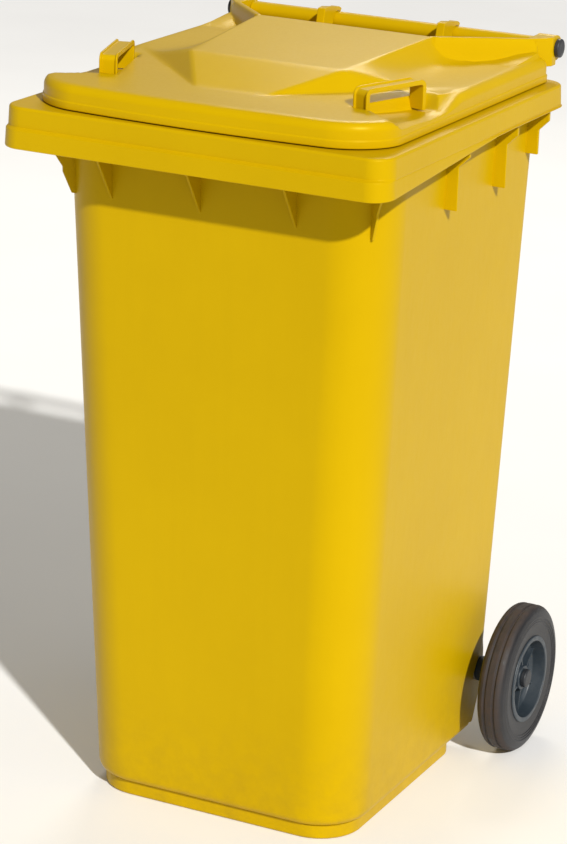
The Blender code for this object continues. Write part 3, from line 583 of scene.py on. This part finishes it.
def surface_points(margin, spacing, bands, t):
    half, front, rear = LID_HALF - margin, LID_FRONT + margin, LID_REAR - margin

    def inside(p):
        cx, cd = abs(p.x) - (LID_HALF - LID_CORNER), LID_FRONT + LID_CORNER - p.y + bow(p.x, p.y)
        if cx > 0 and cd > 0 and math.hypot(cx, cd) > LID_CORNER - margin:
            return False
        return abs(p.x) < half and front < p.y - bow(p.x, LID_FRONT) and p.y < rear

    points, edges, lines = [], [], []
    for a, b in crease_lines(t):
        side = Vector((b.y - a.y, a.x - b.x)).normalized()
        for sign in (-1, 1):
            for off in bands:
                lines.append([Vector((sign * p.x, p.y)) for p in (a + side * off, b + side * off)])
    for a, b in lines:
        count = max(1, round((b - a).length / spacing))
        kept = [p for p in (a.lerp(b, k / count) for k in range(count + 1)) if inside(p)]
        edges += [(len(points) + k, len(points) + k + 1) for k in range(len(kept) - 1)]
        points += kept
    columns, rows = round(2 * half / spacing), round((rear - front) / spacing)
    for row in range(rows + 1):
        for column in range(columns + 1):
            p = Vector((mix(-half, half, column / columns), mix(front, rear, row / rows)))
            if inside(p) and min(off_line(p, a, b) for a, b in lines) > 0.35 * spacing:
                points.append(p)
    return [Vector((p.x, depth(p.y))) for p in points], edges


def lid_mesh(inset, t, low, spacing, bands):
    rings = [lid_ring(inset, low)]
    if t == 0:
        rings = [lid_ring(inset + 0.0012, low), lid_ring(inset + 0.0003, low + 0.0004), lid_ring(inset, low + 0.0014),
                 lid_ring(inset, LID_LOW + LID_STEP - 0.0014), lid_ring(inset + 0.0003, LID_LOW + LID_STEP - 0.0006),
                 lid_ring(inset + 0.0010, LID_LOW + LID_STEP), lid_ring(inset + 0.0014, LID_LOW + LID_STEP + 0.0006)]
    shoulder = inset + 0.0015
    steps = 8
    for k in range(steps + 1):
        a = math.radians(90 * k / steps)
        rings.append(lid_ring(shoulder + LID_ROUND * (1 - math.cos(a)),
                              LID_TOP - t - LID_ROUND * (1 - math.sin(a))))
    for k, ring in enumerate(rings[-steps - 1:]):
        for p in ring:
            top = lid_height(p.x, p.y + OVERALL_DEPTH / 2, t)
            p.z = top if k == steps else min(p.z, top - 0.0004 * (steps - k))
    edge = [p.xy for p in rings[-1]]
    inside, creases = surface_points(shoulder + LID_ROUND + 0.5 * spacing, spacing, bands, t)
    creases = [(a + len(edge), b + len(edge)) for a, b in creases]
    points, _, faces, _, _, _ = delaunay_2d_cdt(edge + inside, creases, [list(range(len(edge)))], 1, 1e-6)
    bm = bmesh.new()
    loops = [[bm.verts.new(p) for p in ring] for ring in rings[:-1]]
    top = [bm.verts.new((p.x, p.y, lid_height(p.x, p.y + OVERALL_DEPTH / 2, t))) for p in points]
    loops.append(top[:len(edge)])
    for lower, upper in zip(loops, loops[1:]):
        for k in range(len(lower)):
            j = (k + 1) % len(lower)
            bm.faces.new((lower[k], lower[j], upper[j], upper[k]))
    for face in faces:
        bm.faces.new([top[k] for k in face])
    bm.faces.new(loops[0])
    bmesh.ops.triangulate(bm, faces=bm.faces)
    return bm


def handle_mesh(side):
    (fx, fd), (rx, rd) = HANDLE_FRONT, HANDLE_REAR
    length = math.hypot(rx - fx, rd - fd)
    along = Vector((side * (rx - fx) / length, (rd - fd) / length, 0))
    across = Vector((-along.y, along.x, 0))
    foot = Vector((side * fx, depth(fd), 0))
    half, lip, top, low = 0.0110, 0.0024, HANDLE_TOP - 0.0024, 0.9242
    section = rounded([(-half, lip), (-half + 0.0022, lip), (-half + 0.0028, 0), (half - 0.0028, 0),
                       (half - 0.0022, lip), (half, lip), (half, -0.0035), (-half, -0.0035)],
                      0.0008, 3, closed=True)
    bend = [(0, low), (0, top - 0.007)]
    bend += [(0.007 * (1 - math.cos(a)), top - 0.007 + 0.007 * math.sin(a))
             for a in (math.radians(90 * k / 8) for k in range(1, 9))]
    path = [Vector(p) for p in bend] + [Vector((length - u, z)) for u, z in bend[::-1]]
    rings = []
    for k, here in enumerate(path):
        ways = [(path[j + 1] - path[j]).normalized() for j in (k - 1, k) if 0 <= j < len(path) - 1]
        way = sum(ways, Vector((0, 0))).normalized()
        out = Vector((-way.y, way.x)) / max(0.6, way.dot(ways[0]))
        rings.append([foot + along * (here.x + out.x * n) + across * v
                      + Vector((0, 0, here.y + out.y * n)) for v, n in section])
    return skin_mesh(rings)


def arc_points(radius, start, end, steps):
    angles = (math.radians(mix(start, end, k / steps)) for k in range(steps + 1))
    return [(HINGE_DEPTH + radius * math.cos(a), HINGE_Z + radius * math.sin(a)) for a in angles]


def build_lid(material):
    spacing, bands = ((0.0055, (-0.0036, -0.0018, 0, 0.0018, 0.0036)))
    lid = finish("lid_shell", lid_mesh(0.0, 0.0, LID_LOW, spacing, bands), material, None)
    hollow = helper("hollow", lid_mesh(LID_T, LID_T, LID_LOW - 0.02, 0.009, (0,)))
    notch = [(NOTCH_DEPTH, 0.88), (NOTCH_DEPTH, 0.99), (0.60, 0.99), (0.60, 0.88)]
    wall = [(NOTCH_DEPTH - LID_T, 0.87), (NOTCH_DEPTH - LID_T, 1.0), (0.61, 1.0), (0.61, 0.87)]
    cut(hollow, [(helper("wall", prism_mesh(wall, -NOTCH_HALF - LID_T, NOTCH_HALF + LID_T)), "DIFFERENCE")])
    cut(lid, [(helper("notch", prism_mesh(notch, -NOTCH_HALF, NOTCH_HALF)), "DIFFERENCE"), (hollow, "DIFFERENCE")])
    dress(lid, material, "lid", "lid", 50)
    ear = [(KNUCKLE_IN, 0.507), (0.2150, 0.5195), (KNUCKLE_OUT, 0.5405), (KNUCKLE_OUT, 0.5530), (KNUCKLE_IN, 0.5530)]
    lug = [(0.5085, 0.9310), (0.517, 0.9655), (0.527, 0.9665)] + arc_points(0.0180, 100, 50, 8)
    lug += arc_points(BAR_R + 0.0008, 50, 185, 20) + [(0.5085, 0.9200)]
    for side, word in ((-1, "left"), (1, "right")):
        corners = [(side * x, depth(d)) for x, d in ear]
        piece = soften(skin_mesh([[(x, y, z) for x, y in corners] for z in (0.9235, 0.9603)]), 0.0012, 3, 25)
        bmesh.ops.triangulate(piece, faces=piece.faces)
        knuckle = finish(f"lid_knuckle_{word}", piece, material, None)
        hinge = (0, depth(HINGE_DEPTH), HINGE_Z)
        barrel = [(KNUCKLE_IN, 0), (KNUCKLE_IN, KNUCKLE_R), (KNUCKLE_OUT, KNUCKLE_R), (KNUCKLE_OUT, 0)]
        barrel = turned_mesh([(side * x, r) for x, r in rounded(barrel, 0.0012)], 64, centre=hinge, turn=0.5)
        bore = [(side * x, r) for x, r in ((0.19, 0), (0.19, PIN_R + GAP), (0.25, PIN_R + GAP), (0.25, 0))]
        cut(knuckle, [(helper("barrel", barrel), "UNION"),
                      (helper("bore", turned_mesh(bore, 64, centre=hinge, turn=0.3)), "DIFFERENCE")])
        dress(knuckle, material, "lid", "lid", 40)
        piece = soften(prism_mesh(lug, *mirrored(side, 0.0797, 0.0907)), 0.0010, 3, 60)
        finish(f"lid_lug_{word}", piece, material, "lid", "lid", slot="lid")
        finish(f"lid_grip_{word}", handle_mesh(side), material, "lid", "lid", slot="lid")


# ------------------------------------------------------------------ hinge pins and wheels
def build_pin(word, side, material):
    low, head = 0.168, KNUCKLE_OUT + GAP
    profile = [(low, 0), (low, PIN_R - 0.0015), (low + 0.003, PIN_R), (head, PIN_R), (head, HEAD_R),
               (head + 0.0055, HEAD_R), (head + 0.0065, HEAD_R - 0.0035), (head + 0.0065, 0)]
    profile = rounded(profile, 0.0012, 4)
    bm = turned_mesh([(side * x, r) for x, r in profile], 64)
    pin = finish(f"pin_{word}", bm, material, "body", f"hinge_pin_{word}", slot="grey_plastic")
    pin.data.transform(Matrix.Translation((0, depth(HINGE_DEPTH), HINGE_Z)))
    return pin


def wheel_piece(name, bm, material, body, node, angle=35):
    """A piece built about the axle's line: its object's origin stays there, for the material's sake."""
    bm.transform(Matrix.Identity(4))
    obj = finish(name, bm, material, None, angle=angle)
    obj.location = (0, depth(AXLE_DEPTH), TYRE_R)
    modifier = obj.modifiers.new("weighted", "WEIGHTED_NORMAL")
    modifier.keep_sharp, modifier.weight = True, 60
    bpy.context.view_layer.update()
    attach(obj, body)
    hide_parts(node)
    return obj


def build_tyre(word, side, material):
    mid = TYRE_OUT - TYRE_W / 2
    half = [(0.0000, TYRE_R - 0.0002), (0.0045, TYRE_R - 0.0002), (0.0052, TYRE_R - 0.0022),
            (0.0078, TYRE_R - 0.0022), (0.0085, TYRE_R), (0.0125, TYRE_R - 0.0010), (0.0158, TYRE_R - 0.0036),
            (0.0182, TYRE_R - 0.0080), (0.0195, TYRE_R - 0.0130)]
    half = rounded(half, 0.0012, 3)
    for k, r in enumerate((0.0150, 0.0185, 0.0220)):
        x = 0.0199 - 0.0004 * k
        half += [(x - 0.0002, TYRE_R - r + 0.0009), (x, TYRE_R - r + 0.0004), (x, TYRE_R - r - 0.0004),
                 (x - 0.0003, TYRE_R - r - 0.0009), (x - 0.0008, TYRE_R - r - 0.0013),
                 (x - 0.0008, TYRE_R - r - 0.0022)]
    half += [(0.0183, TYRE_R - 0.0270), (0.0176, TYRE_R - 0.0350), (0.0170, TYRE_BORE + 0.0030),
             (0.0165, TYRE_BORE + 0.0010), (0.0165, TYRE_BORE)]
    profile = [(mid + x, r) for x, r in half] + [(mid - x, r) for x, r in half[:0:-1]]
    bm = turned_mesh([(side * x, r) for x, r in profile], 128, closed=True)
    return wheel_piece(f"wheel_tyre_{word}", bm, material, f"wheel_{word}", f"tyre_{word}")


BOSS_IN, BOSS_OUT, WEB_IN, WEB_OUT, HUB_R = 0.1911, 0.2560, 0.2400, 0.2440, 0.0557


def build_hub(word, side, material):
    bore = AXLE_R + GAP
    barrel_in = TYRE_OUT - TYRE_W + 0.0035 + GAP
    lip = TYRE_OUT - 0.0035 + GAP
    profile = [(BOSS_IN, bore), (BOSS_OUT, bore), (BOSS_OUT, 0.0165), (WEB_OUT + 0.003, 0.0180),
               (WEB_OUT, 0.0210), (WEB_OUT, 0.0460), (WEB_OUT + 0.004, 0.0500), (lip + 0.0020, 0.0525),
               (lip + 0.0024, 0.0540), (lip + 0.0022, 0.0585), (lip + 0.0012, 0.0595), (lip, 0.0595),
               (lip, HUB_R), (barrel_in, HUB_R), (barrel_in, 0.0515), (WEB_IN, 0.0500),
               (WEB_IN, 0.0200), (BOSS_IN, 0.0170)]
    bm = turned_mesh([(side * x, r) for x, r in rounded(profile, 0.0012, 3, closed=True)], 96, closed=True)
    for k in range(6):
        a = math.radians(90 + 60 * k)
        along = Vector((0, math.cos(a), math.sin(a)))
        across = Vector((0, -math.sin(a), math.cos(a))) * 0.0015
        outline = [(WEB_OUT - 0.002, 0.0150), (BOSS_OUT - 0.002, 0.0150), (BOSS_OUT - 0.004, 0.0300),
                   (WEB_OUT + 0.007, 0.0510), (WEB_OUT - 0.002, 0.0510)]
        rings = [[along * r + across * s + Vector((side * x, 0, 0)) for x, r in outline] for s in (-1, 1)]
        rib = soften(skin_mesh(rings), 0.0006)
        mesh = bpy.data.meshes.new("rib")
        rib.to_mesh(mesh)
        rib.free()
        bm.from_mesh(mesh)
        bpy.data.meshes.remove(mesh)
    return wheel_piece(f"wheel_centre_{word}", bm, material, f"wheel_{word}", f"wheel_hub_{word}")


def build_cap(word, side, material):
    low, face, inner = BOSS_OUT + GAP, 0.2610 + GAP, AXLE_R + GAP
    profile = [(face, 0), (face, inner), (low, inner), (low, 0.0120), (low + 0.0005, 0.0125),
               (face + 0.0006, 0.0122), (face + 0.0018, 0.0105), (face + 0.0022, 0.0080), (face + 0.0022, 0)]
    bm = turned_mesh([(side * x, r) for x, r in rounded(profile, 0.0008, 3)], 64)
    return wheel_piece(f"cap_{word}", bm, material, "body", f"axle_cap_{word}")


# ------------------------------------------------------------------ studio
def build_floor():
    n = Nodes("pale_floor")
    n.set(Base_Color=n.blend(n.ramp(n.noise(2.0, 3.0), 0.3, 0.7), (0.86, 0.86, 0.86), (0.89, 0.89, 0.89)),
          Roughness=0.75)
    bm = bmesh.new()
    bmesh.ops.create_grid(bm, x_segments=12, y_segments=12, size=12.0)
    mesh = bpy.data.meshes.new("studio_floor")
    bm.to_mesh(mesh)
    bm.free()
    mesh.materials.append(n.material)
    floor = bpy.data.objects.new("studio_floor", mesh)
    floor.location = (0, 0, CAD_BOX[0][2] - 0.0005)
    bpy.context.scene.collection.objects.link(floor)


def area_light(name, position, aim, power, size, colour=(1, 1, 1)):
    light = bpy.data.lights.new(name, "AREA")
    light.shape, light.size, light.size_y = "RECTANGLE", *size
    light.energy, light.color = power, colour
    obj = bpy.data.objects.new(name, light)
    obj.location = position
    obj.rotation_euler = (Vector(aim) - Vector(position)).to_track_quat("-Z", "Y").to_euler()
    bpy.context.scene.collection.objects.link(obj)


def build_light():
    world = bpy.data.worlds.new("studio_world")
    world.use_nodes = True
    world.node_tree.nodes["Background"].inputs["Color"].default_value = (1.0, 0.985, 0.96, 1.0)
    world.node_tree.nodes["Background"].inputs["Strength"].default_value = 0.28
    bpy.context.scene.world = world
    key = bpy.data.lights.new("key", "SUN")
    key.energy, key.angle, key.color = 4.0, math.radians(1.8), (1.0, 0.98, 0.94)
    sun = bpy.data.objects.new("key", key)
    sun.rotation_euler = Vector((-0.62, 0.55, -0.57)).to_track_quat("-Z", "Y").to_euler()
    bpy.context.scene.collection.objects.link(sun)
    area_light("back", (-1.15, 3.3, 3.2), (0, 0, 0.95), 42, (1.3, 0.8), (1.0, 0.94, 0.80))


def build_camera():
    bpy.context.scene.view_settings.view_transform = "Standard"
    yaw, pitch, roll = (math.radians(a) for a in (24.917, 18.598, -2.384))
    forward = Vector((-math.sin(yaw) * math.cos(pitch), math.cos(yaw) * math.cos(pitch), -math.sin(pitch)))
    level = Vector((math.cos(yaw), math.sin(yaw), 0))
    down = forward.cross(level)
    right = math.cos(roll) * level + math.sin(roll) * down
    up = math.sin(roll) * level - math.cos(roll) * down
    data = bpy.data.cameras.new("camera")
    data.sensor_fit, data.sensor_height, data.sensor_width = "AUTO", 36.0, 36.0
    data.lens = 127.25
    data.shift_x, data.shift_y = -0.0944, 0.0351
    data.clip_end = 100
    camera = bpy.data.objects.new("camera", data)
    matrix = Matrix((right, up, -forward)).transposed().to_4x4()
    matrix.translation = (1.6115, -3.2547, 1.6587)
    camera.matrix_world = matrix
    bpy.context.scene.collection.objects.link(camera)
    bpy.context.scene.camera = camera


def dress_node(node, material):
    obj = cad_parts[node]
    obj.data.materials.clear()
    obj.data.materials.append(material)


build_camera()
build_light()
build_floor()
tub_yellow = yellow_plastic("tub_yellow", (0.54, 0.345, 0.0005), (0.51, 0.322, 0.0005), 0.36, 0.10)
lid_yellow = yellow_plastic("lid_yellow", (0.56, 0.358, 0.0005), (0.53, 0.335, 0.0005), 0.30, 0.05)
hub_grey = dark_plastic("hub_blue_grey", (0.020, 0.029, 0.038), (0.038, 0.048, 0.058), 0.34)
pin_grey = dark_plastic("pin_grey", (0.016, 0.018, 0.022), (0.040, 0.042, 0.045), 0.38)
rubber, steel = tyre_rubber(), plated_steel()
build_tub(tub_yellow)
build_lid(lid_yellow)
for way, label in ((-1, "left"), (1, "right")):
    build_pin(label, way, pin_grey)
    build_tyre(label, way, rubber)
    build_hub(label, way, hub_grey)
    build_cap(label, way, pin_grey)
    dress_node(f"thrust_washer_{label}", steel)
dress_node("axle", steel)
